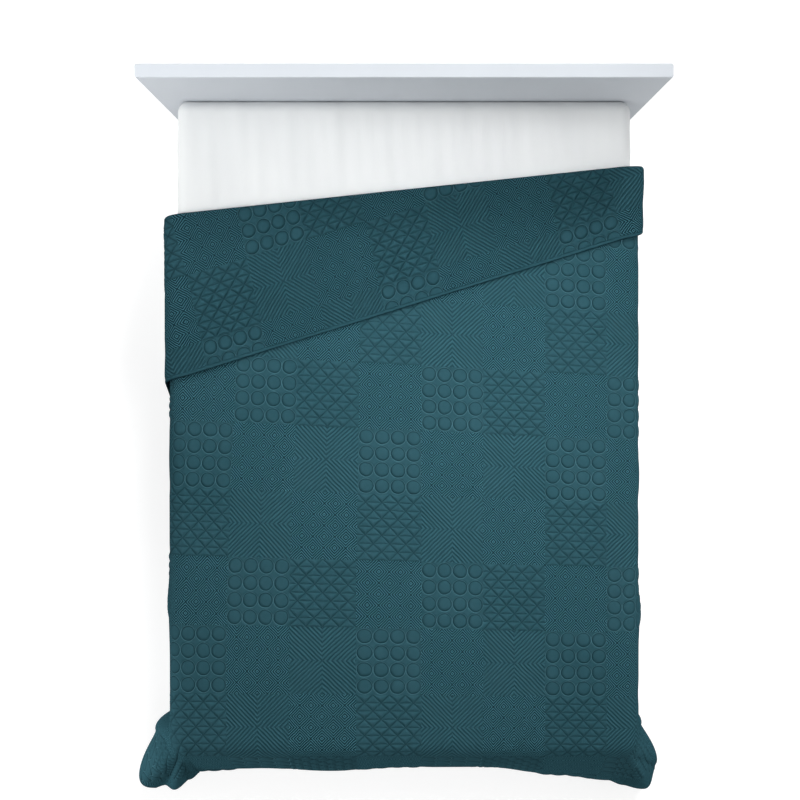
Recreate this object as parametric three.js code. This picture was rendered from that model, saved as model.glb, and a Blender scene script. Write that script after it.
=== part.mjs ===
// A quilted bedspread spread over a double bed, its head end turned back at a slant.
// Millimetres, +Z up, the head of the bed towards +Y, the origin on the floor under the middle of the bed.
import * as THREE from 'three';
import { mergeVertices } from 'three/addons/utils/BufferGeometryUtils.js';

const DEGREE = Math.PI / 180;

// The bed: a box base, a mattress in its white sheet and a flat headboard, each a hair's breadth apart
const TOUCH = 0.3;
const BASE = { width: 1380, length: 1980, height: 290, corner: 30 };
const MATTRESS = { width: 1400, length: 2000, height: 220, edge: 38, corner: 42 };
const HEADBOARD = { width: 1518, thickness: 40, height: 884, edge: 3 };
const MATTRESS_TOP = BASE.height + TOUCH + MATTRESS.height;

// The bedspread as it was cut, and where its left side and its head end lie if it is spread out flat
const SPREAD = { width: 2200, length: 2400, thickness: 6, left: -1070, head: 1074 };
const SPREAD_RIGHT = SPREAD.left + SPREAD.width;
const SPREAD_FOOT = SPREAD.head - SPREAD.length;

// It was spread a little askew: its rows turn further from square with every millimetre towards the head
const SKEW = { from: -824, turn: 0.5 * DEGREE, growth: 0.00255 * DEGREE };

// The slanted line on which the head end is turned back, and the soft roll there
const FOLD = { middle: 711, slope: 0.1058, roll: 9, settle: 110, steps: 4 };
const FOLD_ANGLE = Math.atan(FOLD.slope);
const ROLL_LENGTH = Math.PI * FOLD.roll;

// The turned back layer lies close on the top of the bed and looser over its sides
const LAYER_GAP = { top: 1, side: 9, from: 560, to: 660 };

// Where the cloth starts to bend over the mattress's sides and foot, and the radius of the bend
const CORE = { half: 664, foot: -966, bend: 56, lift: 0.4, bendSteps: 4 };

// The hanging cloth stands away from the bed by these angles, in degrees: just under the bend, and at the hem.
// Along runs round the bed: up to 0 is the right side, then the right corner, the foot, the left corner, the left side.
const CORNER = 400;
const FOOT_END = CORNER + 2 * CORE.half;
const LEFT_START = FOOT_END + CORNER;
const HANG_LENGTH = 420;
const HANG = [
  { along: -1750, under: 6, hem: 3 },
  { along: -1500, under: 3, hem: 1 },
  { along: -1240, under: 10, hem: 5 },
  { along: -1010, under: 4, hem: 1 },
  { along: -800, under: 11, hem: 6 },
  { along: -560, under: 4, hem: 0 },
  { along: -350, under: 12, hem: 7 },
  { along: -160, under: 5, hem: 2 },
  { along: -20, under: 5, hem: 3 },
  { along: 70, under: 13, hem: 11 },
  { along: 150, under: 28, hem: 26 },
  { along: 210, under: 36, hem: 34 },
  { along: 290, under: 35, hem: 30 },
  { along: CORNER, under: 36, hem: 21 },
  { along: 560, under: 38, hem: 8 },
  { along: 800, under: 32, hem: 2 },
  { along: 1060, under: 31, hem: 5 },
  { along: 1300, under: 35, hem: 5 },
  { along: 1520, under: 32, hem: 5 },
  { along: FOOT_END, under: 32, hem: 11 },
  { along: FOOT_END + 100, under: 34, hem: 22 },
  { along: FOOT_END + 155, under: 36, hem: 32 },
  { along: FOOT_END + 190, under: 33, hem: 31 },
  { along: FOOT_END + 245, under: 38, hem: 37 },
  { along: FOOT_END + 340, under: 20, hem: 17 },
  { along: LEFT_START + 30, under: 6, hem: 3 },
  { along: LEFT_START + 170, under: 4, hem: 1 },
  { along: LEFT_START + 380, under: 12, hem: 6 },
  { along: LEFT_START + 620, under: 4, hem: 1 },
  { along: LEFT_START + 860, under: 10, hem: 6 },
  { along: LEFT_START + 1120, under: 3, hem: 0 },
  { along: LEFT_START + 1400, under: 9, hem: 5 },
  { along: LEFT_START + 1750, under: 5, hem: 2 },
];

// At the foot corners the cloth swings further towards the foot than it would by itself
const CORNER_TURN = 15 * DEGREE;

// Long low waves in the cloth on top of the bed
const WAVES = [
  { height: 1.3, across: 1 / 165, along: 1 / 420, start: 0.4 },
  { height: 1.1, across: -1 / 390, along: 1 / 150, start: 2.1 },
  { height: 0.8, across: 1 / 240, along: -1 / 210, start: 4.0 },
];

// The quilting: blocks in a repeat of three by three, each of four by four cells.
// o has rings and t triangles, which stand up as a pad in each cell; d has small diamonds and x a big cross.
const BLOCK = { width: 189, length: 200, left: -136, head: 588, column: 3, cells: 4 };
const REPEAT = ['dot', 'odx', 'txd'];
const REPEAT_ROW = 2;
const PAD = { o: 3.2, t: 3.4 };
const PILLOW = 1.4;
const CELL = { width: BLOCK.width / BLOCK.cells, length: BLOCK.length / BLOCK.cells };

function smooth(t) {
  const s = Math.min(1, Math.max(0, t));
  return s * s * (3 - 2 * s);
}

function remainder(n, size) {
  return ((n % size) + size) % size;
}

// A closed outline of a rectangle with round corners, centred on the origin
function roundedRectangle(width, length, radius) {
  const x = width / 2 - radius;
  const y = length / 2 - radius;
  const shape = new THREE.Shape();
  shape.absarc(x, y, radius, 0, Math.PI / 2);
  shape.absarc(-x, y, radius, Math.PI / 2, Math.PI);
  shape.absarc(-x, -y, radius, Math.PI, 1.5 * Math.PI);
  shape.absarc(x, -y, radius, 1.5 * Math.PI, 2 * Math.PI);
  return shape;
}

// A box with round upright corners and round edges at its top and bottom
function softBox({ width, length, height, corner, edge }, edgeSteps) {
  const outline = roundedRectangle(width - 2 * edge, length - 2 * edge, corner - edge);
  const geometry = new THREE.ExtrudeGeometry(outline, {
    depth: height - 2 * edge,
    bevelThickness: edge,
    bevelSize: edge,
    bevelSegments: edgeSteps,
    curveSegments: 4,
  });
  return geometry.translate(0, 0, edge);
}

// How far the hanging cloth stands away from the bed, at a point on the way round it
function hangAt(along) {
  const last = HANG.length - 1;
  if (along <= HANG[0].along) return HANG[0];
  if (along >= HANG[last].along) return HANG[last];
  const next = HANG.findIndex((station) => station.along > along);
  const before = HANG[next - 1];
  const after = HANG[next];
  const share = smooth((along - before.along) / (after.along - before.along));
  return {
    under: before.under + (after.under - before.under) * share,
    hem: before.hem + (after.hem - before.hem) * share,
  };
}

// The way round the bed for a point outside the flat core, from the core's nearest point and the step beyond it
function wayRound(coreX, coreY, beyondX, beyondY) {
  const towardsFoot = Math.atan2(-beyondY, Math.abs(beyondX)) / (Math.PI / 2);
  const share = towardsFoot * CORNER;
  if (beyondX > 0) return coreY > CORE.foot ? CORE.foot - coreY : share;
  if (beyondX < 0) return coreY > CORE.foot ? LEFT_START + coreY - CORE.foot : LEFT_START - share;
  return CORNER + CORE.half - coreX;
}

// The cloth's underside where a point of the flat sheet comes to lie on the bed
function drape(x, y) {
  const coreX = Math.min(CORE.half, Math.max(-CORE.half, x));
  const coreY = Math.max(CORE.foot, y);
  const beyond = Math.hypot(x - coreX, y - coreY);
  let wave = 2;
  for (const { height, across, along, start } of WAVES) {
    wave += height * Math.sin(coreX * across + coreY * along + start);
  }
  const top = MATTRESS_TOP + CORE.lift + Math.max(0, wave);
  if (beyond === 0) return new THREE.Vector3(x, y, top);
  const hang = hangAt(wayRound(coreX, coreY, x - coreX, y - coreY));
  const under = hang.under * DEGREE;
  const arc = CORE.bend * (Math.PI / 2 - under);
  let out = CORE.bend * Math.sin(Math.min(beyond, arc) / CORE.bend);
  let down = CORE.bend * (1 - Math.cos(Math.min(beyond, arc) / CORE.bend));
  if (beyond > arc) {
    const straighten = Math.max(1e-6, under - hang.hem * DEGREE) / HANG_LENGTH;
    const lean = under - straighten * (beyond - arc);
    out += (Math.cos(lean) - Math.cos(under)) / straighten;
    down += (Math.sin(under) - Math.sin(lean)) / straighten;
  }
  const towardsFoot = Math.atan2(coreY - y, Math.abs(x - coreX));
  const way = towardsFoot + CORNER_TURN * Math.sin(2 * towardsFoot);
  return new THREE.Vector3(
    coreX + Math.sign(x - coreX) * Math.cos(way) * out,
    coreY - Math.sin(way) * out,
    top - down,
  );
}

// The direction square to a surface, from the points a small step to each side
function squareTo(surface, a, b) {
  const step = 0.5;
  const across = surface(a + step, b).sub(surface(a - step, b));
  const along = surface(a, b + step).sub(surface(a, b - step));
  return across.cross(along).normalize();
}

// Where a point of the cut cloth lies while everything is still flat, before the head end is turned back
function spreadOut(u, v) {
  return { x: u, y: v - (SKEW.turn + SKEW.growth * (v - SKEW.from)) * u };
}

// The same the other way round: the length coordinate of the cut cloth that lies at x, y
function cutLength(x, y) {
  return (y + (SKEW.turn - SKEW.growth * SKEW.from) * x) / (1 - SKEW.growth * x);
}

// The length coordinate at which a lengthwise line of the cut cloth is past the fold by a distance
function pastFold(u, past) {
  return cutLength(u, FOLD.middle + FOLD.slope * u + past / Math.cos(FOLD_ANGLE));
}

// The flat place and height of a point of the cut cloth once the head end is turned back
function turnBack(u, v) {
  const { x, y } = spreadOut(u, v);
  const past = (y - FOLD.middle - FOLD.slope * x) * Math.cos(FOLD_ANGLE);
  const lift = SPREAD.thickness / 2;
  if (past <= 0) return { x, y, lift };
  const onRoll = Math.min(past, ROLL_LENGTH) / FOLD.roll;
  const back = Math.max(0, past - ROLL_LENGTH);
  const move = FOLD.roll * Math.sin(onRoll) - back - past;
  const loose = smooth((Math.abs(x) - LAYER_GAP.from) / (LAYER_GAP.to - LAYER_GAP.from));
  const gap = LAYER_GAP.top + (LAYER_GAP.side - LAYER_GAP.top) * loose;
  const settled = SPREAD.thickness + gap;
  const standing = 2 * FOLD.roll - settled;
  const rise = back > 0
    ? settled + standing * (1 - smooth(back / FOLD.settle))
    : FOLD.roll * (1 - Math.cos(onRoll));
  return {
    x: x - Math.sin(FOLD_ANGLE) * move,
    y: y + Math.cos(FOLD_ANGLE) * move,
    lift: lift + rise,
  };
}

// The middle of the cloth's thickness
function cloth(u, v) {
  const { x, y, lift } = turnBack(u, v);
  return drape(x, y).addScaledVector(squareTo(drape, x, y), lift);
}

// Whether the turned back end lies on top of a point of the lower layer
function isCovered(u, v) {
  const { x, y } = spreadOut(u, v);
  const past = (y - FOLD.middle - FOLD.slope * x) * Math.cos(FOLD_ANGLE);
  const mirrorX = x + 2 * past * Math.sin(FOLD_ANGLE);
  const mirrorY = y - 2 * past * Math.cos(FOLD_ANGLE);
  return past <= 0 && cutLength(mirrorX, mirrorY) < SPREAD.head + CELL.length;
}

// The letter of the quilting block at a point of the cut cloth
function motif(u, v) {
  const column = Math.floor((u - BLOCK.left) / BLOCK.width) + BLOCK.column;
  const row = Math.floor((BLOCK.head - v) / BLOCK.length) - REPEAT_ROW;
  return REPEAT[remainder(row, 3)][remainder(column, 3)];
}

// How far a corner of the cells stands up: the diamonds and crosses swell a little inside their block's seams
function pillow(u, v) {
  const acrossBlock = remainder((u - BLOCK.left) / BLOCK.width, 1);
  const alongBlock = remainder((v - BLOCK.head) / BLOCK.length, 1);
  const seam = Math.min(acrossBlock, 1 - acrossBlock, alongBlock, 1 - alongBlock) * BLOCK.cells;
  return 'dx'.includes(motif(u, v)) ? PILLOW * smooth(seam) : 0;
}

// The lines of a stretch: its ends, and the cell seams that aren't close to them
function seams(from, to, origin, size) {
  const near = size / 4;
  const lines = [from];
  for (let n = Math.ceil((from - origin) / size); origin + n * size < to - near; n += 1) {
    if (origin + n * size > from + near) lines.push(origin + n * size);
  }
  return lines.concat(to);
}

// The lines over a bend, between its two ends
function bendLines(from, to) {
  const lines = [];
  for (let n = 1; n < CORE.bendSteps; n += 1) {
    lines.push(from + (to - from) * n / CORE.bendSteps);
  }
  return lines;
}

// The lengthwise and crosswise lines of the mesh: the cells' seams, and closer lines over each bend
const BEND_LENGTH = CORE.bend * Math.PI / 2;
const BEND_SIDE = CORE.half + BEND_LENGTH;
const BEND_FOOT = CORE.foot - BEND_LENGTH;
const COLUMNS = [
  ...seams(SPREAD.left, -BEND_SIDE, BLOCK.left, CELL.width),
  ...bendLines(-BEND_SIDE, -CORE.half),
  ...seams(-CORE.half, CORE.half, BLOCK.left, CELL.width),
  ...bendLines(CORE.half, BEND_SIDE),
  ...seams(BEND_SIDE, SPREAD_RIGHT, BLOCK.left, CELL.width),
];
const LENGTHS = [
  ...seams(SPREAD_FOOT, BEND_FOOT, BLOCK.head, CELL.length),
  ...bendLines(BEND_FOOT, CORE.foot),
  ...seams(CORE.foot, SPREAD.head, BLOCK.head, CELL.length),
];

// The rows of the mesh: up to the fold, round the roll, and on to the turned back edge.
// A row that would cross the fold stops on it, so rows run together there.
const ROWS = [];
const NEAR_FOLD = 7;
LENGTHS.forEach((v, n) => {
  const at = (u) => (v < pastFold(u, -NEAR_FOLD) ? v : pastFold(u, 0));
  ROWS.push({ part: 'lower', n, at });
});
for (let n = 1; n < FOLD.steps; n += 1) {
  ROWS.push({ part: 'roll', n, at: (u) => pastFold(u, ROLL_LENGTH * n / FOLD.steps) });
}
LENGTHS.forEach((v, n) => {
  const at = (u) => (v > pastFold(u, ROLL_LENGTH + NEAR_FOLD) ? v : pastFold(u, ROLL_LENGTH));
  ROWS.push({ part: 'turned', n, at });
});

// The hidden face of each layer has fewer lines: every fourth column in the middle and every second row of its top
const HIDDEN = { half: 500, columns: 4, rows: 2 };
const HIDDEN_COLUMN = COLUMNS.findIndex((u) => u > -HIDDEN.half);
const HIDDEN_LENGTH = LENGTHS.findIndex((v) => v >= CORE.foot);

// The lines that a corner of the mesh lies on, for the face that was up (1) or down (-1) before the turning back
function coarse(column, row, face) {
  const { part, n } = ROWS[row];
  const shown = part === 'roll' || (part === 'lower') === (face === 1);
  const whole = shown || Math.abs(COLUMNS[column]) > HIDDEN.half;
  const i = whole ? column : column - (column - HIDDEN_COLUMN) % HIDDEN.columns;
  const kept = shown || n < HIDDEN_LENGTH || n === LENGTHS.length - 1;
  const j = kept ? row : row - (n - HIDDEN_LENGTH) % HIDDEN.rows;
  return { u: COLUMNS[i], v: ROWS[j].at(COLUMNS[i]) };
}

// A point on one face of the cloth, raised by its quilting where that face shows
function facePoint(u, v, face, raised) {
  const height = SPREAD.thickness / 2 + raised;
  return cloth(u, v).addScaledVector(squareTo(cloth, u, v), face * height);
}

// The triangles of the closed shell of cloth
function bedspreadGeometry() {
  const positions = [];
  const known = new Map();

  function corner(column, row, face) {
    const { u, v } = coarse(column, row, face);
    const key = `${face} ${u.toFixed(3)} ${v.toFixed(3)}`;
    if (!known.has(key)) {
      const up = ROWS[row].part === 'lower' ? face === 1 && !isCovered(u, v) : face === -1;
      known.set(key, facePoint(u, v, face, up ? pillow(u, v) : 0));
    }
    return known.get(key);
  }

  function triangle(...points) {
    const [a, b, c] = points;
    if (a === b || b === c || c === a) return;
    for (const point of points) positions.push(point.x, point.y, point.z);
  }

  function quad(a, b, c, d) {
    triangle(a, b, c);
    triangle(a, c, d);
  }

  function cell(i, j, face) {
    const corners = [
      corner(i, j, face),
      corner(i + 1, j, face),
      corner(i + 1, j + 1, face),
      corner(i, j + 1, face),
    ];
    if (face === -1) corners.reverse();
    const u = (COLUMNS[i] + COLUMNS[i + 1]) / 2;
    const from = ROWS[j].at(u);
    const to = ROWS[j + 1].at(u);
    const v = (from + to) / 2;
    const height = PAD[motif(u, v)];
    const shown = face === 1 ? ROWS[j + 1].part === 'lower' && !isCovered(u, v) : ROWS[j].part === 'turned';
    const wide = COLUMNS[i + 1] - COLUMNS[i] > 0.7 * CELL.width;
    if (height && shown && wide && to - from > 0.7 * CELL.length && new Set(corners).size === 4) {
      const pad = facePoint(u, v, face, height);
      corners.forEach((point, n) => triangle(point, corners[(n + 1) % 4], pad));
    } else {
      quad(...corners);
    }
  }

  const lastColumn = COLUMNS.length - 1;
  const lastRow = ROWS.length - 1;
  for (let i = 0; i < lastColumn; i += 1) {
    for (let j = 0; j < lastRow; j += 1) {
      cell(i, j, 1);
      cell(i, j, -1);
    }
    quad(corner(i, 0, -1), corner(i + 1, 0, -1), corner(i + 1, 0, 1), corner(i, 0, 1));
    quad(
      corner(i, lastRow, 1),
      corner(i + 1, lastRow, 1),
      corner(i + 1, lastRow, -1),
      corner(i, lastRow, -1),
    );
  }
  for (let j = 0; j < lastRow; j += 1) {
    quad(corner(0, j, 1), corner(0, j + 1, 1), corner(0, j + 1, -1), corner(0, j, -1));
    quad(
      corner(lastColumn, j, -1),
      corner(lastColumn, j + 1, -1),
      corner(lastColumn, j + 1, 1),
      corner(lastColumn, j, 1),
    );
  }
  const geometry = new THREE.BufferGeometry();
  geometry.setAttribute('position', new THREE.Float32BufferAttribute(positions, 3));
  const merged = mergeVertices(geometry, 1e-4);
  merged.computeVertexNormals();
  return merged;
}

function part(name, geometry, color, roughness) {
  const mesh = new THREE.Mesh(geometry, new THREE.MeshStandardMaterial({ color, roughness, metalness: 0 }));
  mesh.name = name;
  return mesh;
}

function buildBase() {
  const outline = roundedRectangle(BASE.width, BASE.length, BASE.corner);
  const geometry = new THREE.ExtrudeGeometry(outline, {
    depth: BASE.height,
    bevelEnabled: false,
    curveSegments: 4,
  });
  return part('bed_base', geometry, 0xdfe1e4, 0.9);
}

function buildMattress() {
  const mesh = part('mattress', softBox(MATTRESS, 5), 0xe9ebec, 0.95);
  mesh.position.z = BASE.height + TOUCH;
  return mesh;
}

function buildHeadboard() {
  const { width, thickness, height, edge } = HEADBOARD;
  const board = { width, length: thickness, height, corner: 2 * edge, edge };
  const mesh = part('headboard', softBox(board, 2), 0xdcdfe4, 0.5);
  mesh.position.y = MATTRESS.length / 2 + TOUCH + thickness / 2;
  return mesh;
}

function buildBedspread() {
  const mesh = part('bedspread', bedspreadGeometry(), 0x2f5560, 0.8);
  mesh.material.flatShading = true;
  return mesh;
}

const bed = new THREE.Group();
bed.add(buildBase(), buildMattress(), buildHeadboard());

const group = new THREE.Group();
group.add(bed, buildBedspread());

export default group;
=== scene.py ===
# A double bed made up with a quilted bedspread whose head end is turned back at a slant.
# Metres, +Z up, the head of the bed towards +Y, the origin on the floor under the middle of the bed.
import math

import bpy
import numpy as np
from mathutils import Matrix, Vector


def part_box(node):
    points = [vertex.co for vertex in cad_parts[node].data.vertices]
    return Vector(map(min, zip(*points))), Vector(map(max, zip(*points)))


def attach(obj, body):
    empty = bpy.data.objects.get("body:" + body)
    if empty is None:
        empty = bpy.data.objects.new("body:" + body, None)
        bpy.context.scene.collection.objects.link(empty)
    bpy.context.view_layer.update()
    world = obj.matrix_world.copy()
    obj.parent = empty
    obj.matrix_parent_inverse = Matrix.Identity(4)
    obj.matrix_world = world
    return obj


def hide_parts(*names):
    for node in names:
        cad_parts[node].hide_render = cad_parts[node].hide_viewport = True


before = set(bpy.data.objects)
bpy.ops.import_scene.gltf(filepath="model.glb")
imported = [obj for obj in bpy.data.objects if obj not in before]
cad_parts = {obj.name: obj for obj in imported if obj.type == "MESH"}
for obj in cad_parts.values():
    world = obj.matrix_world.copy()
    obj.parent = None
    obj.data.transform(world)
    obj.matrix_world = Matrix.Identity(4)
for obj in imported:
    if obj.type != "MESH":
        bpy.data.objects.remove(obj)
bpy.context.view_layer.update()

IMAGE = 800

# The bed
MATTRESS_LOW, MATTRESS_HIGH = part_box("mattress")
MATTRESS_TOP = MATTRESS_HIGH[2]
MATTRESS_CORNER = 0.034
MATTRESS_EDGE = 0.038
MATTRESS_STEPS = (140, 200, 16)
BASE_LOW, BASE_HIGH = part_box("bed_base")
BASE_CORNER = 0.03
BASE_EDGE = 0.008
BASE_STEPS = (40, 60, 24)
EDGE_STEPS = 10
LEAST_CORNER = 0.004

# The bedspread as it was cut, and where its left side and its head end lie if it is spread out flat
WIDTH = 2.2
LENGTH = 2.4
THICKNESS = 0.006
LEFT = -1.07
RIGHT = LEFT + WIDTH
HEAD = 1.074

# The plain band inside its edges, the seam in it, and the share of the thickness left at the very edge
HEM = 0.012
HEM_SEAM = 0.0105
HEM_FADE = 0.006
EDGE_ROUND = 0.004
EDGE_SHARE = 0.45

# Towards the foot its quilting is drawn out a little lengthwise, from one length coordinate on
DRAWN_DOWN = 0.012
DOWN_FROM = -0.25
DOWN_LENGTH = 0.6
FOOT = HEAD - LENGTH + DRAWN_DOWN

# At the left it is drawn out to the side: this grows from the left edge, ends near the middle,
# and grows again towards the foot
DRAWN_LEFT = 0.03
SIDE_GROWTH = 0.5
SIDE_END = 0.05
SIDE_FADE = 0.45
SIDE_FROM = 0.3
SIDE_LENGTH = 0.95

# It was spread a little askew: its rows turn further from square towards the head
SKEW_FROM = -0.824
SKEW_TURN = math.radians(0.5)
SKEW_GROWTH = math.radians(2.55)

# The slanted line on which the head end is turned back, and the soft roll there
FOLD_MIDDLE = 0.711
FOLD_SLOPE = 0.1058
FOLD_ANGLE = math.atan(FOLD_SLOPE)
FOLD_PLAIN = 0.004
FOLD_FADE = 0.035
ROLL = 0.009
ROLL_LENGTH = math.pi * ROLL
ROLL_STEPS = 8
SETTLE = 0.11

# The turned back layer lies close on the top of the bed and looser over its sides
GAP_TOP = 0.003
GAP_SIDE = 0.009
GAP_FROM = 0.56
GAP_TO = 0.66

# Where the cloth starts to bend over the mattress's sides and foot, and the radius of the bend
CORE_HALF = 0.664
CORE_FOOT = -0.966
BEND = 0.056
LIFT = 0.0004

# The hanging cloth stands away from the bed by these angles, in degrees: just under the bend, and at
# the hem. The first column is metres round the bed: up to 0 the right side, then the right corner,
# the foot, the left corner and the left side.
CORNER = 0.4
FOOT_END = CORNER + 2 * CORE_HALF
LEFT_START = FOOT_END + CORNER
HANG_LENGTH = 0.42
LEAST_STRAIGHTENING = 1e-3
CORNER_TURN = math.radians(15)
HANG = np.array([
    (-1.75, 6, 3),
    (-1.5, 3, 1),
    (-1.24, 10, 5),
    (-1.01, 4, 1),
    (-0.8, 11, 6),
    (-0.56, 4, 0),
    (-0.35, 12, 7),
    (-0.16, 5, 2),
    (-0.02, 5, 3),
    (0.07, 13, 11),
    (0.15, 28, 26),
    (0.21, 36, 34),
    (0.29, 35, 30),
    (CORNER, 36, 21),
    (0.56, 38, 8),
    (0.8, 32, 2),
    (1.06, 31, 5),
    (1.3, 35, 5),
    (1.52, 32, 5),
    (FOOT_END, 32, 11),
    (FOOT_END + 0.1, 34, 22),
    (FOOT_END + 0.155, 36, 32),
    (FOOT_END + 0.19, 33, 31),
    (FOOT_END + 0.245, 38, 37),
    (FOOT_END + 0.34, 20, 17),
    (LEFT_START + 0.03, 6, 3),
    (LEFT_START + 0.17, 4, 1),
    (LEFT_START + 0.38, 12, 6),
    (LEFT_START + 0.62, 4, 1),
    (LEFT_START + 0.86, 10, 6),
    (LEFT_START + 1.12, 3, 0),
    (LEFT_START + 1.4, 9, 5),
    (LEFT_START + 1.75, 5, 2),
])

# Long low waves in the cloth on top of the bed: height, how they run across and along in radians
# a metre, and where they start
WAVES = [
    (0.0013, 1 / 0.165, 1 / 0.42, 0.4),
    (0.0011, -1 / 0.39, 1 / 0.15, 2.1),
    (0.0008, 1 / 0.24, -1 / 0.21, 4.0),
]
WAVE_BASE = 0.002

# The quilting: blocks in a repeat of three by three, each of four by four cells, in the cut cloth's
# coordinates. o has rings, t triangles, d small diamonds inside each other and x a big cross.
BLOCK_WIDTH = 0.189
BLOCK_LENGTH = 0.2
BLOCK_LEFT = -0.136
BLOCK_HEAD = 0.588
REPEAT_ROW = 2
REPEAT = ["dot", "odx", "txd"]
PERIOD = len(REPEAT)
CELLS = 4
CELL_WIDTH = BLOCK_WIDTH / CELLS
CELL_LENGTH = BLOCK_LENGTH / CELLS
CELL_SLANT = 1 / math.hypot(1 / CELL_WIDTH, 1 / CELL_LENGTH)
DIAMONDS = 3
DIAMOND_WIDTH = BLOCK_WIDTH / DIAMONDS
DIAMOND_LENGTH = BLOCK_LENGTH / DIAMONDS
DIAMOND_STEP = BLOCK_WIDTH / 24
CROSS_STEP = BLOCK_WIDTH / 14

# A ring's radius, how far the quilting stands up, the power that rounds the rings' pads, and over
# what distances the rest rises from its seams
RING = 0.0215
RING_HEIGHT = 0.003
RING_CROWN = 0.7
BETWEEN_RINGS = 0.0014
BETWEEN_RISE = 0.01
TRIANGLE_HEIGHT = 0.0032
TRIANGLE_RISE = 0.007
PILLOW = 0.0014

# The bedspread's mesh: its lines in the hem, how many steps a cell has, how much coarser the hidden
# faces are, and how far the fine mesh reaches under the turned back end
HEM_LINES = np.array([0, 0.003, 0.0075, HEM_SEAM, 0.0135])
CELL_STEPS = 6
HIDDEN_STEP = 3
FINE_UNDER_FLAP = 0.08

# Over what distance the quilting rises beside the turned back end, how near the fold a corner is
# moved onto it, and how finely corners are told apart
SHOWN_FADE = 0.03
NEAR_FOLD = 0.002
KEYS_A_METRE = 1e6

# In a ring's cell the mesh's square steps from the middle to the side become circles of these radii
RING_STEPS = [0, 1 / 3, 2 / 3, 1]
RING_RADII = [0, 0.55 * RING, 0.97 * RING, RING]
RING_MARGIN = 0.01

# The parts of the cut cloth's length: under the fold, round the roll, and turned back
LOWER = 0
ROLLED = 1
UPPER = 2

# Wrinkles in the sheet: height, how they run across and along in radians a metre, and their start
SHEET_WRINKLES = [
    (0.0008, 48, 3, 0.3),
    (0.0006, 83, -5, 1.7),
    (0.0005, 127, 9, 4.2),
    (0.0008, 21, 14, 2.2),
]
WRINKLE_DEPTH = 0.0026
WRINKLES_FROM = 0.45
WRINKLES_FADE = 0.3
SHEET_BAND = 0.03
SHEET_BAND_FADE = 0.02
SWAY = 0.0006
SWAY_INWARD = 0.0012


def smooth(t):
    s = np.clip(t, 0, 1)
    return s * s * (3 - 2 * s)


def unit(vectors):
    return vectors / np.linalg.norm(vectors, axis=-1, keepdims=True)


# The drape: where the cut cloth's points come to lie

def hang_at(along):
    """The hanging cloth's angles under the bend and at the hem, in radians, on the way round the bed."""
    stations = HANG[:, 0]
    after = np.clip(np.searchsorted(stations, along), 1, len(stations) - 1)
    share = smooth((along - stations[after - 1]) / (stations[after] - stations[after - 1]))
    angles = HANG[after - 1, 1:] + (HANG[after, 1:] - HANG[after - 1, 1:]) * share[..., None]
    return np.radians(angles[..., 0]), np.radians(angles[..., 1])


def way_round(core_x, core_y, beyond_x, beyond_y):
    """How far round the bed a point outside the flat core lies."""
    share = np.arctan2(-beyond_y, np.abs(beyond_x)) / (math.pi / 2) * CORNER
    side = core_y > CORE_FOOT
    right = np.where(side, CORE_FOOT - core_y, share)
    left = np.where(side, LEFT_START + core_y - CORE_FOOT, LEFT_START - share)
    foot = CORNER + CORE_HALF - core_x
    return np.where(beyond_x > 0, right, np.where(beyond_x < 0, left, foot))


def drape(x, y):
    """The cloth's underside where a point of the flat sheet comes to lie on the bed."""
    core_x = np.clip(x, -CORE_HALF, CORE_HALF)
    core_y = np.maximum(CORE_FOOT, y)
    beyond = np.hypot(x - core_x, y - core_y)
    wave = WAVE_BASE + sum(h * np.sin(core_x * a + core_y * b + c) for h, a, b, c in WAVES)
    top = MATTRESS_TOP + LIFT + np.maximum(0, wave)
    under, hem = hang_at(way_round(core_x, core_y, x - core_x, y - core_y))
    arc = BEND * (math.pi / 2 - under)
    bent = np.minimum(beyond, arc) / BEND
    hanging = np.maximum(0, beyond - arc)
    straighten = np.maximum(LEAST_STRAIGHTENING, under - hem) / HANG_LENGTH
    lean = under - straighten * hanging
    out = BEND * np.sin(bent) + (np.cos(lean) - np.cos(under)) / straighten
    down = BEND * (1 - np.cos(bent)) + (np.sin(under) - np.sin(lean)) / straighten
    towards = np.arctan2(core_y - y, np.abs(x - core_x))
    towards = towards + CORNER_TURN * np.sin(2 * towards)
    way_x = np.sign(x - core_x) * np.cos(towards)
    return np.stack([core_x + way_x * out, core_y - np.sin(towards) * out, top - down], axis=-1)


def square_to(surface, a, b):
    """The direction square to a surface."""
    step = 0.0005
    across = surface(a + step, b) - surface(a - step, b)
    along = surface(a, b + step) - surface(a, b - step)
    return unit(np.cross(across, along))


def spread_out(u, v):
    """Where a point of the cut cloth lies while everything is still flat."""
    grown = smooth((u - LEFT) / SIDE_GROWTH) * smooth((SIDE_END - u) / SIDE_FADE)
    sideways = grown * smooth((SIDE_FROM - v) / SIDE_LENGTH)
    x = u - DRAWN_LEFT * sideways
    y = v - DRAWN_DOWN * smooth((DOWN_FROM - v) / DOWN_LENGTH)
    return x, y - (SKEW_TURN + SKEW_GROWTH * (y - SKEW_FROM)) * x


def cut_length(x, y):
    """The length coordinate of the cut cloth that lies at x, y."""
    return (y + (SKEW_TURN - SKEW_GROWTH * SKEW_FROM) * x) / (1 - SKEW_GROWTH * x)


def past_fold(u, past):
    """The length coordinate at which a lengthwise line of the cut cloth is past the fold."""
    return cut_length(u, FOLD_MIDDLE + FOLD_SLOPE * u + past / math.cos(FOLD_ANGLE))


def fold_distance(x, y):
    """How far a flat point lies past the fold."""
    return (y - FOLD_MIDDLE - FOLD_SLOPE * x) * math.cos(FOLD_ANGLE)


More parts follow.
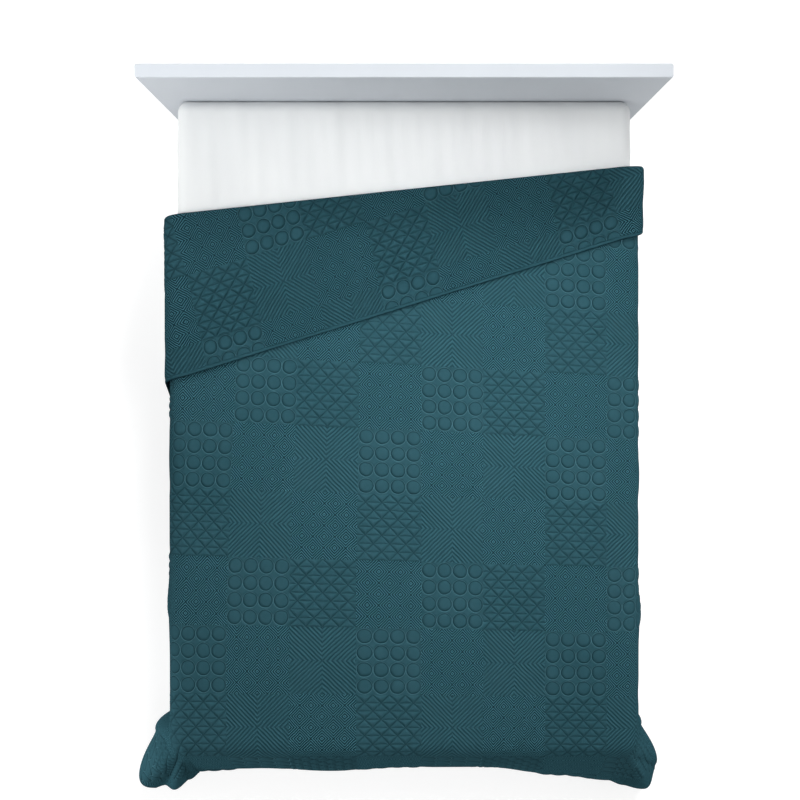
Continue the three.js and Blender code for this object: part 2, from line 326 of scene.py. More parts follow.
def turn_back(u, v):
    """The flat place and height of a point of the cut cloth once the head end is turned back."""
    x, y = spread_out(u, v)
    past = np.maximum(0, fold_distance(x, y))
    on_roll = np.minimum(past, ROLL_LENGTH) / ROLL
    back = np.maximum(0, past - ROLL_LENGTH)
    move = ROLL * np.sin(on_roll) - back - past
    loose = smooth((np.abs(x) - GAP_FROM) / (GAP_TO - GAP_FROM))
    settled = THICKNESS + GAP_TOP + (GAP_SIDE - GAP_TOP) * loose
    standing = 2 * ROLL - settled
    settling = settled + standing * (1 - smooth(back / SETTLE))
    rise = np.where(back > 0, settling, ROLL * (1 - np.cos(on_roll)))
    flat_x = x - math.sin(FOLD_ANGLE) * move
    flat_y = y + math.cos(FOLD_ANGLE) * move
    return flat_x, flat_y, THICKNESS / 2 + rise


def cloth(u, v):
    """The middle of the cloth's thickness."""
    x, y, lift = turn_back(u, v)
    return drape(x, y) + square_to(drape, x, y) * lift[..., None]


def beyond_flap(u, v):
    """How far the lower layer at a point lies beyond the turned back end's edge."""
    x, y = spread_out(u, v)
    past = fold_distance(x, y)
    mirrored_x = x + 2 * past * math.sin(FOLD_ANGLE)
    mirrored_y = y - 2 * past * math.cos(FOLD_ANGLE)
    return np.where(past > 0, -1, cut_length(mirrored_x, mirrored_y) - HEAD)


def off_fold(u, v):
    """0 at the fold, so that the quilting doesn't wave its outline, and 1 a little away from it."""
    past = fold_distance(*spread_out(u, v))
    return smooth((np.maximum(-past, past - ROLL_LENGTH) - FOLD_PLAIN) / FOLD_FADE)


# The quilting's relief

def motif(u, v):
    """The letter of the quilting block at each point of the cut cloth."""
    column = np.floor((u - BLOCK_LEFT) / BLOCK_WIDTH).astype(int)
    row = np.floor((BLOCK_HEAD - v) / BLOCK_LENGTH).astype(int) - REPEAT_ROW
    letters = np.array([list(line) for line in REPEAT])
    return letters[np.mod(row, PERIOD), np.mod(column, PERIOD)]


def in_cell(u, v):
    """The place inside a cell, from its middle."""
    across = np.mod(u - BLOCK_LEFT, CELL_WIDTH) - CELL_WIDTH / 2
    along = np.mod(v - BLOCK_HEAD, CELL_LENGTH) - CELL_LENGTH / 2
    return across, along


def edge_distance(u, v):
    """How far a point of the cut cloth is from its nearest edge."""
    return np.minimum(np.minimum(u - LEFT, RIGHT - u), np.minimum(v - FOOT, HEAD - v))


def relief(u, v):
    """How far the quilting stands up between its seams."""
    across, along = in_cell(u, v)
    radius = np.hypot(across, along)
    ring = RING_HEIGHT * np.clip(1 - (radius / RING) ** 2, 0, 1) ** RING_CROWN
    ring = ring + BETWEEN_RINGS * smooth((radius - RING) / BETWEEN_RISE)
    one = np.abs(across / CELL_WIDTH - along / CELL_LENGTH) * CELL_SLANT
    other = np.abs(across / CELL_WIDTH + along / CELL_LENGTH) * CELL_SLANT
    level = np.minimum(np.abs(along), CELL_LENGTH / 2 - np.abs(along))
    nearest = np.minimum(np.minimum(one, other), level)
    triangle = TRIANGLE_HEIGHT * smooth(nearest / TRIANGLE_RISE)
    block_across = np.mod((u - BLOCK_LEFT) / BLOCK_WIDTH, 1)
    block_along = np.mod((v - BLOCK_HEAD) / BLOCK_LENGTH, 1)
    seam_across = np.minimum(block_across, 1 - block_across)
    seam_along = np.minimum(block_along, 1 - block_along)
    pillow = PILLOW * smooth(np.minimum(seam_across, seam_along) * CELLS)
    letter = motif(u, v)
    raised = np.where(letter == "o", ring, np.where(letter == "t", triangle, pillow))
    return raised * smooth((edge_distance(u, v) - HEM) / HEM_FADE)


def round_rings(u, v, low, high):
    """Moves the mesh lines in each ring's cell onto circles, clear of the cloth's edges and fold.

    low and high give the length coordinates between which the cells lie."""
    across, along = in_cell(u, v)
    a = across / (CELL_WIDTH / 2)
    b = along / (CELL_LENGTH / 2)
    m = np.maximum(np.abs(a), np.abs(b))
    middle_u = u - across
    middle_v = v - along
    clear = (middle_v - CELL_LENGTH > low(middle_u)) & (middle_v + CELL_LENGTH < high(middle_u))
    clear &= (middle_u - CELL_WIDTH > LEFT) & (middle_u + CELL_WIDTH < RIGHT)
    rings = (motif(middle_u, middle_v) == "o") & clear & (m > RING_MARGIN) & (m < 1 - RING_MARGIN)
    radius = np.interp(m, RING_STEPS, RING_RADII)
    wide = np.abs(a) >= np.abs(b)
    ratio = np.where(wide, b / np.where(wide, a, 1), a / np.where(wide, 1, b))
    turn = ratio * math.pi / 4
    cos_way = np.where(wide, np.sign(a) * np.cos(turn), np.sign(b) * np.sin(turn))
    sin_way = np.where(wide, np.sign(a) * np.sin(turn), np.sign(b) * np.cos(turn))
    round_u = np.where(rings, middle_u + radius * cos_way, u)
    round_v = np.where(rings, middle_v + radius * sin_way, v)
    return round_u, round_v


# The bedspread's mesh

def mesh_lines(low, high, origin, step):
    """The mesh's lines from edge to edge of the cut cloth: the hem's and even parts of the cells."""
    first = math.ceil((low - origin) / step)
    last = math.floor((high - origin) / step)
    inside = origin + step * np.arange(first, last + 1)
    margin = HEM_LINES[-1] + step / 2
    inside = inside[(inside > low + margin) & (inside < high - margin)]
    return np.concatenate([low + HEM_LINES, inside, high - HEM_LINES[::-1]])


def face_point(u, v, face, raised):
    """A point on one face of the cloth, which is thinner at its very edge."""
    edge = edge_distance(u, v)
    bulge = np.sqrt(np.clip(1 - (1 - edge / EDGE_ROUND) ** 2, 0, 1))
    half = THICKNESS / 2 * (EDGE_SHARE + (1 - EDGE_SHARE) * bulge)
    half = np.where(edge >= EDGE_ROUND, THICKNESS / 2, half)
    return cloth(u, v) + square_to(cloth, u, v) * (face * (half + raised))[..., None]


def snapped(index):
    """The coarser line that each line of a hidden face runs together with."""
    coarse = index - (index - len(HEM_LINES)) % HIDDEN_STEP
    return np.clip(coarse, 0, None)


def build_bedspread():
    """The cloth's two faces and its edges in one mesh, whose corners keep their place on the cut cloth."""
    columns = mesh_lines(LEFT, RIGHT, BLOCK_LEFT, CELL_WIDTH / CELL_STEPS)
    lengths = mesh_lines(FOOT, HEAD, BLOCK_HEAD, CELL_LENGTH / CELL_STEPS)
    count = len(lengths)
    u = np.broadcast_to(columns, (2 * count + ROLL_STEPS - 1, len(columns))).copy()
    parts = [np.full(count, LOWER), np.full(ROLL_STEPS - 1, ROLLED), np.full(count, UPPER)]
    part = np.broadcast_to(np.concatenate(parts)[:, None], u.shape)
    rolls = np.arange(1, ROLL_STEPS) / ROLL_STEPS * ROLL_LENGTH
    v = np.concatenate([
        np.broadcast_to(lengths[:, None], (count, len(columns))),
        past_fold(u[:ROLL_STEPS - 1], rolls[:, None]),
        np.broadcast_to(lengths[:, None], (count, len(columns))),
    ])
    low_u, low_v = round_rings(u, v, lambda x: FOOT + 0 * x, lambda x: past_fold(x, 0))
    high_u, high_v = round_rings(u, v, lambda x: past_fold(x, ROLL_LENGTH), lambda x: HEAD + 0 * x)
    rows = np.broadcast_to(np.arange(u.shape[0])[:, None], u.shape)
    cols = np.broadcast_to(np.arange(u.shape[1])[None, :], u.shape)
    last_row = u.shape[0] - 1
    last_col = u.shape[1] - 1

    def placed(face):
        """The cut coordinates of one face's corners, run together where it is hidden or folded."""
        shown_low = (face == 1) & (part == LOWER)
        shown_high = (face == -1) & (part != LOWER)
        fine = (shown_low & (beyond_flap(u, v) > -FINE_UNDER_FLAP)) | shown_high
        i = np.where(fine, cols, snapped(cols))
        j = np.where(fine, rows, snapped(rows))
        j = np.where(fine | (rows < last_row), j, last_row)
        j = np.where(part == ROLLED, rows, j)
        crossing = part[j, i] != part
        j = np.where(crossing & (part == UPPER), rows, j)
        i = np.where(cols == last_col, cols, i)
        taken = part[j, i]
        pu = np.where(taken == LOWER, low_u[j, i], np.where(taken == UPPER, high_u[j, i], u[j, i]))
        pv = np.where(taken == LOWER, low_v[j, i], np.where(taken == UPPER, high_v[j, i], v[j, i]))
        pu = np.where(fine, pu, columns[i])
        at_fold = past_fold(pu, 0)
        at_back = past_fold(pu, ROLL_LENGTH)
        pv = np.where((taken == LOWER) & (pv > at_fold - NEAR_FOLD), at_fold, pv)
        pv = np.where((taken == UPPER) & (pv < at_back + NEAR_FOLD), at_back, pv)
        return pu, pv, shown_low, shown_high

    points = []
    cut = []
    numbers = {}
    total = 0
    for face in (1, -1):
        pu, pv, shown_low, shown_high = placed(face)
        keys = np.stack([pu.ravel(), pv.ravel()], axis=1) * KEYS_A_METRE
        keys = np.round(keys).astype(np.int64)
        _, first, inverse = np.unique(keys, axis=0, return_index=True, return_inverse=True)
        ku = pu.ravel()[first]
        kv = pv.ravel()[first]
        free = smooth(beyond_flap(ku, kv) / SHOWN_FADE)
        shown = np.where(shown_low.ravel()[first], free, shown_high.ravel()[first].astype(float))
        points.append(face_point(ku, kv, face, relief(ku, kv) * shown * off_fold(ku, kv)))
        cut.append(np.stack([ku, kv, np.full_like(ku, face)], axis=1))
        numbers[face] = inverse.reshape(u.shape) + total
        total += len(first)

    def quads(a, b, c, d):
        return np.stack([x.ravel() for x in (a, b, c, d)], axis=1)

    up = numbers[1]
    down = numbers[-1]
    faces = np.concatenate([
        quads(up[:-1, :-1], up[:-1, 1:], up[1:, 1:], up[1:, :-1]),
        quads(down[:-1, :-1], down[1:, :-1], down[1:, 1:], down[:-1, 1:]),
        quads(down[0, :-1], down[0, 1:], up[0, 1:], up[0, :-1]),
        quads(up[-1, :-1], up[-1, 1:], down[-1, 1:], down[-1, :-1]),
        quads(up[:-1, 0], up[1:, 0], down[1:, 0], down[:-1, 0]),
        quads(down[:-1, -1], down[1:, -1], up[1:, -1], up[:-1, -1]),
    ])
    return make_mesh("quilted_bedspread", np.concatenate(points), faces, np.concatenate(cut))


def add_object(name, data):
    thing = bpy.data.objects.new(name, data)
    bpy.context.scene.collection.objects.link(thing)
    return thing


def make_mesh(name, points, quads, cut=None):
    """An object from points and quads, where corners that run together make triangles or nothing."""
    triangles = np.concatenate([quads[:, [0, 1, 2]], quads[:, [0, 2, 3]]])
    a, b, c = triangles.T
    triangles = triangles[(a != b) & (b != c) & (c != a)]
    used, inverse = np.unique(triangles, return_inverse=True)
    triangles = inverse.reshape(-1, 3)
    mesh = bpy.data.meshes.new(name)
    mesh.vertices.add(len(used))
    mesh.vertices.foreach_set("co", points[used].ravel())
    mesh.loops.add(triangles.size)
    mesh.loops.foreach_set("vertex_index", triangles.ravel())
    mesh.polygons.add(len(triangles))
    mesh.polygons.foreach_set("loop_start", np.arange(0, triangles.size, 3))
    mesh.update(calc_edges=True)
    mesh.polygons.foreach_set("use_smooth", np.ones(len(triangles), dtype=bool))
    if cut is not None:
        attribute = mesh.attributes.new("cut", "FLOAT_VECTOR", "POINT")
        attribute.data.foreach_set("vector", cut[used].ravel())
    mesh.validate()
    return add_object(name, mesh)


# The mattress in its fitted sheet, and the base: boxes with round edges, made of rings of corners

def box_profile(bottom, top, edge, side_steps):
    """The inset and height of each ring down a box's side, from its lid to its underside."""
    turns = [math.pi / 2 * n / EDGE_STEPS for n in range(EDGE_STEPS + 1)]
    side = top - bottom - 2 * edge
    upper = [(edge * (1 - math.sin(turn)), top - edge * (1 - math.cos(turn))) for turn in turns]
    sides = [(0, top - edge - side * n / side_steps) for n in range(1, side_steps)]
    lower = [(edge * (1 - math.cos(turn)), bottom + edge * (1 - math.sin(turn))) for turn in turns]
    return upper + sides + lower


def softened_box(name, low, high, corner, edge, steps, wrinkle=None):
    """A closed box whose upright corners have one radius and whose top and bottom edges another."""
    middle = (np.array(low) + np.array(high)) / 2
    half = (np.array(high) - np.array(low)) / 2
    across = np.linspace(-1, 1, steps[0] + 1)
    along = np.linspace(-1, 1, steps[1] + 1)

    def plan(a, b, inset):
        """The place in plan of a grid point, drawn in from the outline by inset."""
        hx = half[0] - inset
        hy = half[1] - inset
        radius = max(corner - inset, LEAST_CORNER)
        x = a * hx
        y = b * hy
        core_x = np.clip(x, -(hx - radius), hx - radius)
        core_y = np.clip(y, -(hy - radius), hy - radius)
        bx = x - core_x
        by = y - core_y
        reach = np.maximum(np.abs(bx), np.abs(by))
        length = np.maximum(np.hypot(bx, by), 1e-9)
        return core_x + bx / length * reach, core_y + by / length * reach

    border = [(a, -1.0) for a in across[:-1]] + [(1.0, b) for b in along[:-1]]
    border += [(a, 1.0) for a in across[:0:-1]] + [(-1.0, b) for b in along[:0:-1]]
    border = np.array(border)
    profile = box_profile(low[2], high[2], edge, steps[2])
    grid_a, grid_b = np.meshgrid(across, along)
    points = []
    faces = []
    lids = []
    for lid in (0, -1):
        inset, z = profile[lid]
        x, y = plan(grid_a, grid_b, inset)
        start = sum(len(p) for p in points)
        points.append(np.stack([x.ravel(), y.ravel(), np.full(x.size, z)], axis=1))
        number = np.arange(x.size).reshape(x.shape) + start
        quads = [number[:-1, :-1], number[:-1, 1:], number[1:, 1:], number[1:, :-1]]
        if lid == -1:
            quads.reverse()
        faces.append(np.stack([q.ravel() for q in quads], axis=1))
        sides = [number[0, :-1], number[:-1, -1], number[-1, :0:-1], number[:0:-1, 0]]
        lids.append(np.concatenate(sides))
    rings = [lids[0]]
    for inset, z in profile[1:-1]:
        x, y = plan(border[:, 0], border[:, 1], inset)
        start = sum(len(p) for p in points)
        points.append(np.stack([x, y, np.full(len(x), z)], axis=1))
        rings.append(np.arange(len(x)) + start)
    rings.append(lids[1])
    for upper, lower in zip(rings[:-1], rings[1:]):
        quads = [upper, lower, np.roll(lower, -1), np.roll(upper, -1)]
        faces.append(np.stack(quads, axis=1))
    points = np.concatenate(points)
    points[:, :2] += middle[:2]
    if wrinkle is not None:
        points = points + wrinkle(points, middle, half)
    return make_mesh(name, points, np.concatenate(faces))


def sheet_wrinkles(points, middle, half):
    """How the fitted sheet moves each point: lengthwise wrinkles at the head end, and slack sides."""
    x, y, z = points.T
    head = smooth((y - WRINKLES_FROM) / WRINKLES_FADE)
    pull = sum(
        height * np.sin(x * across + y * along + start)
        for height, across, along, start in SHEET_WRINKLES
    )
    flat = smooth((z - (middle[2] + half[2] - SHEET_BAND)) / SHEET_BAND_FADE)
    move = np.zeros_like(points)
    move[:, 2] = -(pull + WRINKLE_DEPTH) * head * flat
    outline_x = np.abs(x) > half[0] - SHEET_BAND
    sway = SWAY * (np.sin(y * 31 + z * 14) + np.sin(y * 57 - z * 23 + 2)) - SWAY_INWARD
    move[:, 0] = np.where(outline_x, np.sign(x) * sway * (1 - flat), 0)
    return move


def build_mattress():
    corner = MATTRESS_CORNER
    edge = MATTRESS_EDGE
    steps = MATTRESS_STEPS
    box = (MATTRESS_LOW, MATTRESS_HIGH)
    return softened_box("mattress_in_sheet", *box, corner, edge, steps, sheet_wrinkles)


def build_base():
    return softened_box("box_base", BASE_LOW, BASE_HIGH, BASE_CORNER, BASE_EDGE, BASE_STEPS)


# Materials

class Nodes:
    """A short way to write a material's nodes as sums."""

    def __init__(self, name):
        self.material = bpy.data.materials.new(name)
        self.material.use_nodes = True
        self.tree = self.material.node_tree
        self.shader = self.tree.nodes["Principled BSDF"]

    def link(self, value, socket):
        if isinstance(value, bpy.types.NodeSocket):
            self.tree.links.new(value, socket)
        else:
            socket.default_value = value

    def math(self, operation, *values):
        node = self.tree.nodes.new("ShaderNodeMath")
        node.operation = operation
        for value, socket in zip(values, node.inputs):
            self.link(value, socket)
        return node.outputs[0]

    def add(self, a, b):
        return self.math("ADD", a, b)

    def sub(self, a, b):
        return self.math("SUBTRACT", a, b)

    def times(self, a, b):
        return self.math("MULTIPLY", a, b)

    def over(self, a, b):
        return self.math("DIVIDE", a, b)

    def least(self, *values):
        found = values[0]
        for value in values[1:]:
            found = self.math("MINIMUM", found, value)
        return found

    def size(self, value):
        return self.math("ABSOLUTE", value)

    def wrapped(self, value, period):
        return self.math("FLOORED_MODULO", value, period)

    def same(self, a, b):
        return self.math("COMPARE", a, b, 0.5)

    def from_middle(self, value, period):
        """How far a value is from the middle of its period."""
        return self.sub(self.wrapped(value, period), period / 2)

    def to_line(self, value, period):
        """How far a value is from the nearest multiple of the period."""
        return self.sub(period / 2, self.size(self.from_middle(value, period)))

    def falling(self, value, start, end):
        """1 up to start, 0 from end, and smooth between them."""
        node = self.tree.nodes.new("ShaderNodeMapRange")
        node.interpolation_type = "SMOOTHSTEP"
        self.link(value, node.inputs["Value"])
        node.inputs["From Min"].default_value = start
        node.inputs["From Max"].default_value = end
        node.inputs["To Min"].default_value = 1
        node.inputs["To Max"].default_value = 0
        return node.outputs[0]

    def split(self, vector):
        node = self.tree.nodes.new("ShaderNodeSeparateXYZ")
        self.link(vector, node.inputs[0])
        return node.outputs

    def attribute(self, name):
        node = self.tree.nodes.new("ShaderNodeAttribute")
        node.attribute_name = name
        return node.outputs["Vector"]

    def object_place(self):
        return self.tree.nodes.new("ShaderNodeTexCoord").outputs["Object"]

    def scaled(self, vector, scale):
        node = self.tree.nodes.new("ShaderNodeMapping")
        self.link(vector, node.inputs["Vector"])
        node.inputs["Scale"].default_value = scale
        return node.outputs[0]

    def noise(self, vector, scale, detail):
        node = self.tree.nodes.new("ShaderNodeTexNoise")
        self.link(vector, node.inputs["Vector"])
        node.inputs["Scale"].default_value = scale
        node.inputs["Detail"].default_value = detail
        return node.outputs["Fac"]

    def wobble(self, value, vector, scale):
        """A value moved up and down a little by noise, so that the lines drawn from it stray."""
        return self.add(value, self.times(self.sub(self.noise(vector, scale, 2.0), 0.5), WOBBLE))

    def mix(self, share, a, b):
        node = self.tree.nodes.new("ShaderNodeMix")
        node.data_type = "RGBA"
        colours = [socket for socket in node.inputs if socket.type == "RGBA"]
        self.link(share, node.inputs["Factor"])
        self.link(a, colours[0])
        self.link(b, colours[1])
        return next(socket for socket in node.outputs if socket.type == "RGBA")

    def bump(self, height, distance, strength):
        node = self.tree.nodes.new("ShaderNodeBump")
        node.inputs["Strength"].default_value = strength
        node.inputs["Distance"].default_value = distance
        self.link(height, node.inputs["Height"])
        return node.outputs[0]

    def set(self, **values):
        for name, value in values.items():
            self.link(value, self.shader.inputs[name.replace("_", " ")])


def rgb(red, green, blue):
    """A colour given as it looks on a screen, 0 to 255, as linear light."""
    def linear(c):
        c /= 255
        return c / 12.92 if c <= 0.04045 else ((c + 0.055) / 1.055) ** 2.4
    return (linear(red), linear(green), linear(blue), 1)


# The cloth's colours
CLOTH_DARK = rgb(36, 68, 76)
CLOTH_LIGHT = rgb(46, 79, 88)
MOTTLE = rgb(28, 59, 68)
# The sewing thread's lighter colour, together with a painted highlight of its sheen
THREAD_AND_HIGHLIGHT = rgb(62, 107, 118)
# Painted highlight on the ridge just outside each ring's seam
RIM_HIGHLIGHT = rgb(86, 134, 145)
REVERSE = rgb(16, 44, 52)
# Painted shade: darkens the cloth in the grooves of its seams and along its very edge
SEAM_AND_EDGE_SHADE = rgb(8, 28, 36)
SHEEN = rgb(120, 170, 180)

# How the sewn lines look in blocks of rings, triangles, small diamonds and crosses: where a groove
# starts beside its line and how wide it is, how dark the painted shade in it is, how much the cloth
# swells beside it, and how much of the lighter thread, with its painted highlight of sheen, shows
GROOVE_START = (0.0003, 0.0003, 0.0008, 0.0008)
GROOVE_WIDTH = (0.0019, 0.0016, 0.0013, 0.0026)
GROOVE_SHADE = (0.38, 0.36, 0.95, 0.5)
SWELL = (1.4, 1.5, 0.2, 0.8)
SWELL_WIDTH = 0.0075
THREAD_SHARE = (0.0, 0.05, 0.85, 0.25)

# How far the lines stray, where a ring's line and the painted highlight beside it lie, and how much
# further away the triangles' level lines are taken to be, which makes them fainter
WOBBLE = 0.005
RING_LINE = RING - 0.0008
RING_RIM = RING + 0.0014
LEVEL_FAINTER = 0.0009


def block_masks(n, u, v):
    """1 in one motif's blocks and 0 elsewhere, for rings, triangles, small diamonds and crosses."""
    across_blocks = n.over(n.sub(u, BLOCK_LEFT), BLOCK_WIDTH)
    along_blocks = n.over(n.sub(BLOCK_HEAD, v), BLOCK_LENGTH)
    column = n.wrapped(n.math("FLOOR", across_blocks), PERIOD)
    row = n.wrapped(n.sub(n.math("FLOOR", along_blocks), REPEAT_ROW), PERIOD)
    both = n.add(row, column)
    diamonds = n.same(row, column)
    others = n.sub(1, diamonds)
    rings = n.times(n.same(both, 1), others)
    triangles = n.times(n.same(both, 2), others)
    crosses = n.same(both, 3)
    return rings, triangles, diamonds, crosses


def sewn_lines(n, u, v):
    """How far a point is from the nearest line of each motif, and from the middle of a ring's cell."""
    cell_u = n.from_middle(n.sub(u, BLOCK_LEFT), CELL_WIDTH)
    cell_v = n.from_middle(n.sub(v, BLOCK_HEAD), CELL_LENGTH)
    radius = n.math("SQRT", n.add(n.times(cell_u, cell_u), n.times(cell_v, cell_v)))
    ring_line = n.size(n.sub(radius, RING_LINE))

    share_u = n.over(cell_u, CELL_WIDTH)
    share_v = n.over(cell_v, CELL_LENGTH)
    one = n.times(n.size(n.sub(share_u, share_v)), CELL_SLANT)
    other = n.times(n.size(n.add(share_u, share_v)), CELL_SLANT)
    level = n.to_line(n.sub(v, BLOCK_HEAD), CELL_LENGTH / 2)
    triangle_line = n.least(one, other, n.add(level, LEVEL_FAINTER))

    left_u = n.sub(u, BLOCK_LEFT)
    lower_v = n.sub(v, BLOCK_HEAD - DIAMOND_LENGTH / 2)
    third_u = n.size(n.over(n.from_middle(left_u, DIAMOND_WIDTH), DIAMOND_WIDTH))
    third_v = n.size(n.over(n.from_middle(lower_v, DIAMOND_LENGTH), DIAMOND_LENGTH))
    reach = n.add(third_u, third_v)
    diamond_reach = n.times(n.least(reach, n.sub(1, reach)), DIAMOND_WIDTH)
    diamond_line = n.times(n.to_line(diamond_reach, DIAMOND_STEP), math.sqrt(0.5))

    block_u = n.size(n.from_middle(n.sub(u, BLOCK_LEFT), BLOCK_WIDTH))
    block_v = n.size(n.from_middle(n.sub(v, BLOCK_HEAD), BLOCK_LENGTH))
    cross_line = n.times(n.to_line(n.sub(block_u, block_v), CROSS_STEP), math.sqrt(0.5))
    return (ring_line, triangle_line, diamond_line, cross_line), radius


def quilted_cloth():
    n = Nodes("quilted_cloth")
    place = n.attribute("cut")
    u, v, face = n.split(place)
    u = n.wobble(u, place, 24)
    v = n.wobble(v, n.scaled(place, (1.3, 1, 1)), 31)
    rings, triangles, diamonds, crosses = block_masks(n, u, v)

    def chosen(values):
        """The value of the motif at each point."""
        ring, triangle, diamond, cross = values
        total = n.add(n.times(rings, ring), n.times(triangles, triangle))
        return n.add(total, n.add(n.times(diamonds, diamond), n.times(crosses, cross)))

    lines, radius = sewn_lines(n, u, v)
    line = chosen(lines)
    start = chosen(GROOVE_START)
    width = chosen(GROOVE_WIDTH)
    shade_share = chosen(GROOVE_SHADE)
    swell = chosen(SWELL)
    thread = chosen(THREAD_SHARE)

    edge_u = n.least(n.sub(u, LEFT), n.sub(RIGHT, u))
    edge_v = n.least(n.sub(v, FOOT), n.sub(HEAD, v))
    edge = n.least(edge_u, edge_v)
    inside = n.sub(1, n.falling(edge, 0.010, 0.013))
    hem_line = n.size(n.sub(edge, HEM_SEAM))
    # The grooves of the seams and of the hem's seam: dents in the bump, and painted shade in the colour
    groove = n.times(n.falling(n.over(n.sub(line, start), width), 0.0, 1.0), inside)
    groove = n.math("MAXIMUM", groove, n.times(n.falling(hem_line, 0.0004, 0.0022), 0.6))
    hollow = n.times(n.falling(line, 0.0, SWELL_WIDTH), n.times(swell, inside))
    ring_rim = n.size(n.sub(radius, RING_RIM))
    # Painted highlight: a light line just outside each ring's seam, which also raises the bump there
    highlit_rim = n.times(n.falling(ring_rim, 0.0003, 0.0015), n.times(rings, inside))
    # Painted shade along every edge of the cloth, like the thin shadow under a hem
    border = n.falling(edge, 0.0015, 0.004)
    reverse = n.math("LESS_THAN", face, 0.0)

    weave = n.noise(place, 1400, 1.0)
    cloud = n.noise(place, 5.5, 3.0)
    mottle = n.noise(place, 60, 3.0)
    ripple = n.noise(n.scaled(place, (1.6, 1, 1)), 8, 3.0)
    base = n.mix(cloud, CLOTH_DARK, CLOTH_LIGHT)
    base = n.mix(n.times(mottle, 0.3), base, MOTTLE)
    # The thread's lighter colour, partly a painted highlight of its sheen
    base = n.mix(n.times(thread, inside), base, THREAD_AND_HIGHLIGHT)
    # Painted highlight beside each ring's seam
    base = n.mix(n.times(highlit_rim, 0.32), base, RIM_HIGHLIGHT)
    base = n.mix(n.times(reverse, 0.2), base, REVERSE)
    # Painted shade in the grooves of the seams and of the hem's seam
    base = n.mix(n.times(groove, shade_share), base, SEAM_AND_EDGE_SHADE)
    # Painted shade along the cloth's very edge
    base = n.mix(n.times(border, 0.6), base, SEAM_AND_EDGE_SHADE)
    height = n.sub(n.add(n.times(weave, 0.08), n.times(highlit_rim, 0.4)), n.add(groove, hollow))
    height = n.add(height, n.times(ripple, 2.5))
    height = n.times(height, n.add(1, n.times(reverse, 0.6)))
    n.set(Base_Color=base, Normal=n.bump(height, 0.0016, 1.0))
    n.set(Roughness=0.92, Specular_IOR_Level=0.0)
    n.set(Sheen_Weight=0.006, Sheen_Roughness=0.4, Sheen_Tint=SHEEN)
    return n.material


def white_cotton():
    n = Nodes("white_cotton")
    place = n.object_place()
    weave = n.noise(place, 1500, 1.0)
    crumple = n.noise(n.scaled(place, (9, 2.2, 5)), 1.0, 4.0)
    fine = n.noise(n.scaled(place, (42, 9, 20)), 1.0, 3.0)
    base = n.mix(crumple, rgb(212, 214, 215), rgb(221, 223, 223))
    height = n.add(n.times(weave, 0.05), n.add(crumple, n.times(fine, 0.35)))
    n.set(Base_Color=base, Normal=n.bump(height, 0.004, 0.6), Roughness=0.85)
    n.set(Specular_IOR_Level=0.3, Sheen_Weight=0.15, Sheen_Roughness=0.5)
    return n.material


def base_cover():
    n = Nodes("base_cover")
    place = n.object_place()
    threads = n.noise(n.scaled(place, (900, 900, 260)), 1.0, 1.0)
    slubs = n.noise(n.scaled(place, (90, 90, 700)), 1.0, 2.0)
    base = n.mix(slubs, rgb(196, 199, 203), rgb(218, 220, 223))
    height = n.add(threads, slubs)
    n.set(Base_Color=base, Normal=n.bump(height, 0.0006, 0.7), Roughness=0.9)
    n.set(Specular_IOR_Level=0.25, Sheen_Weight=0.1)
    return n.material


def white_board():
    n = Nodes("white_board")
    place = n.object_place()
    lacquer = n.noise(place, 420, 2.0)
    wear = n.noise(place, 6, 4.0)
    base = n.mix(wear, rgb(187, 192, 198), rgb(194, 199, 205))
    roughness = n.add(0.55, n.times(wear, 0.14))
    n.set(Base_Color=base, Roughness=roughness, Normal=n.bump(lacquer, 0.0002, 0.25))
    n.set(Specular_IOR_Level=0.3)
    return n.material


def dress(piece, material):
    piece.data.materials.clear()
    piece.data.materials.append(material)


# The pieces

bedspread = build_bedspread()
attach(bedspread, "root")
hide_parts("bedspread")
dress(bedspread, quilted_cloth())

mattress = build_mattress()
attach(mattress, "root")
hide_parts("mattress")
dress(mattress, white_cotton())

base = build_base()
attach(base, "root")
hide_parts("bed_base")
dress(base, base_cover())

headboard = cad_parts["headboard"]
board = white_board()
if not headboard.material_slots:
    headboard.data.materials.append(board)
for slot in headboard.material_slots:
    slot.material = board

# The camera looks straight down from high over the bed. It stands over the picture's pixel
# NADIR_PIXEL, which is off the middle of the frame, so the lens is shifted by as much.

PIXELS_A_METRE = 326
CAMERA_HEIGHT = 4.5
NADIR_PIXEL = (404, 346)
NADIR_Y = 0.245
SENSOR = 36
FAR = 100

# The pale floor
FLOOR_REACH = 60
FLOOR_GREY = 0.45
FLOOR_GLOW = 0.7

WHITE = (1, 1, 1, 1)
WORLD_STRENGTH = 0.55


def build_camera():
    middle = IMAGE / 2
    focal = PIXELS_A_METRE * CAMERA_HEIGHT
    data = bpy.data.cameras.new("camera")
    data.sensor_width = SENSOR
    data.lens = focal / IMAGE * SENSOR
    data.shift_x = (middle - NADIR_PIXEL[0]) / IMAGE
    data.shift_y = (NADIR_PIXEL[1] - middle) / IMAGE
    data.clip_end = FAR
    camera = add_object("camera", data)
    camera.location = (0, NADIR_Y, MATTRESS_TOP + CAMERA_HEIGHT)
    bpy.context.scene.camera = camera


def turned(direction):
    """The rotation of a lamp that shines in a direction."""
    return direction.to_track_quat("-Z", "Y").to_euler()


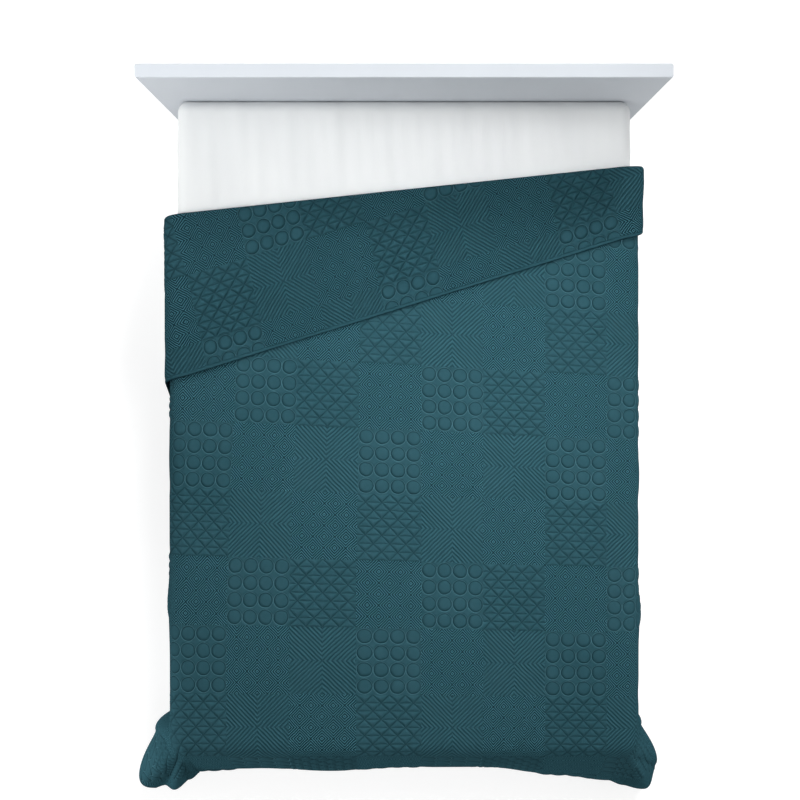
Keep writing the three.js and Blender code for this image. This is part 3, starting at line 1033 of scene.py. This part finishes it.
def build_light(name, place, target, size, power, spread=180):
    """A square lamp at a place, aimed at a target, with its light held to a spread in degrees."""
    data = bpy.data.lights.new(name, "AREA")
    data.shape = "SQUARE"
    data.size = size
    data.energy = power
    data.spread = math.radians(spread)
    light = add_object(name, data)
    light.location = place
    light.rotation_euler = turned(Vector(target) - Vector(place))


def build_sun(name, towards, angle, strength):
    """A far lamp that shines in a direction, with soft shadows by its angle in degrees."""
    data = bpy.data.lights.new(name, "SUN")
    data.angle = math.radians(angle)
    data.energy = strength
    light = add_object(name, data)
    light.rotation_euler = turned(Vector(towards))


def build_floor():
    mesh = bpy.data.meshes.new("floor")
    corners = [(-1, -1), (1, -1), (1, 1), (-1, 1)]
    mesh.from_pydata([(x * FLOOR_REACH, y * FLOOR_REACH, 0) for x, y in corners], [], [(0, 1, 2, 3)])
    floor = add_object("floor", mesh)
    n = Nodes("pale_floor")
    grey = (FLOOR_GREY, FLOOR_GREY, FLOOR_GREY, 1)
    n.set(Base_Color=grey, Roughness=1.0, Specular_IOR_Level=0.0)
    n.set(Emission_Color=WHITE, Emission_Strength=FLOOR_GLOW)
    mesh.materials.append(n.material)


def build_world():
    world = bpy.data.worlds.new("studio")
    world.use_nodes = True
    background = world.node_tree.nodes["Background"]
    background.inputs["Color"].default_value = WHITE
    background.inputs["Strength"].default_value = WORLD_STRENGTH
    bpy.context.scene.world = world


# The key light slants down over the head of the bed, and the overhead one fills in. The other three
# brighten the middle of the bedspread, its left foot corner, and the headboard's front.
build_camera()
build_floor()
build_world()
build_sun("key", (-0.25, -0.72, -0.65), 12, 1.64)
build_light("overhead", (0.5, 0.6, 4.4), (0, 0.4, 0.5), 2.5, 27)
build_light("centre", (1.2, 1.2, 3.7), (0.2, 0.02, 0.5), 1.0, 5, spread=38)
build_light("corner", (-3.0, -1.6, 0.3), (-0.78, -1.08, 0.3), 0.4, 2.6, spread=40)
build_light("front", (-2.0, 0.1, 2.0), (-0.35, 1.0, 0.65), 0.6, 3.9, spread=60)
bpy.context.scene.view_settings.view_transform = "Standard"
